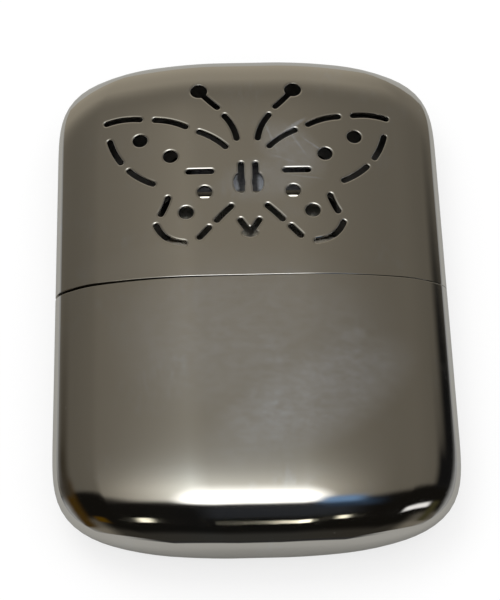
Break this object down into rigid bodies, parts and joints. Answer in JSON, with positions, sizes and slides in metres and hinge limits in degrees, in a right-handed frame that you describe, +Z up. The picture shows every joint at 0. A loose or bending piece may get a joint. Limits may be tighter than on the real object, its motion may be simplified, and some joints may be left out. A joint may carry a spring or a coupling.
{
  "type": "catalytic hand warmer",
  "caption": "Flat metal pocket hand warmer: a fuel tank with a neck and lift-off catalytic burner, and a slide-off lid with a butterfly of punched vents.",
  "frame": {"origin": "under the middle of the closed case, on the surface it lies on", "axes": "+Z up out of the vented front, +Y along the length towards the lid's closed end, +X along the width"},
  "size_m": [0.067, 0.097, 0.013],
  "materials": {
    "case_chrome": "polished",
    "collar_steel": "satin",
    "burner_nickel": "bright nickel",
    "catalyst_fibre": "matte",
    "glass_fibre": "matte",
    "felt": "matte",
    "cotton": "matte"
  },
  "bodies": {
    "tank": {"tank_shell": "case_chrome", "tank_deck": "collar_steel", "filler_neck": "collar_steel", "neck_screen": "collar_steel", "wick_felt": "felt", "cotton_wadding": "cotton"},
    "burner": {"burner_skirt": "burner_nickel", "burner_frame": "burner_nickel", "support_grid": "burner_nickel", "catalyst_mat": "catalyst_fibre", "fibre_core": "glass_fibre"},
    "lid": {"lid_shell": "case_chrome"}
  },
  "joints": [
    {"name": "burner_lift", "type": "slide", "parent": "tank", "child": "burner", "axis": [0, 1, 0], "range_m": [0, 0.015]},
    {"name": "lid_slide", "type": "slide", "parent": "tank", "child": "lid", "axis": [0, 1, 0], "range_m": [0, 0.035]}
  ]
}
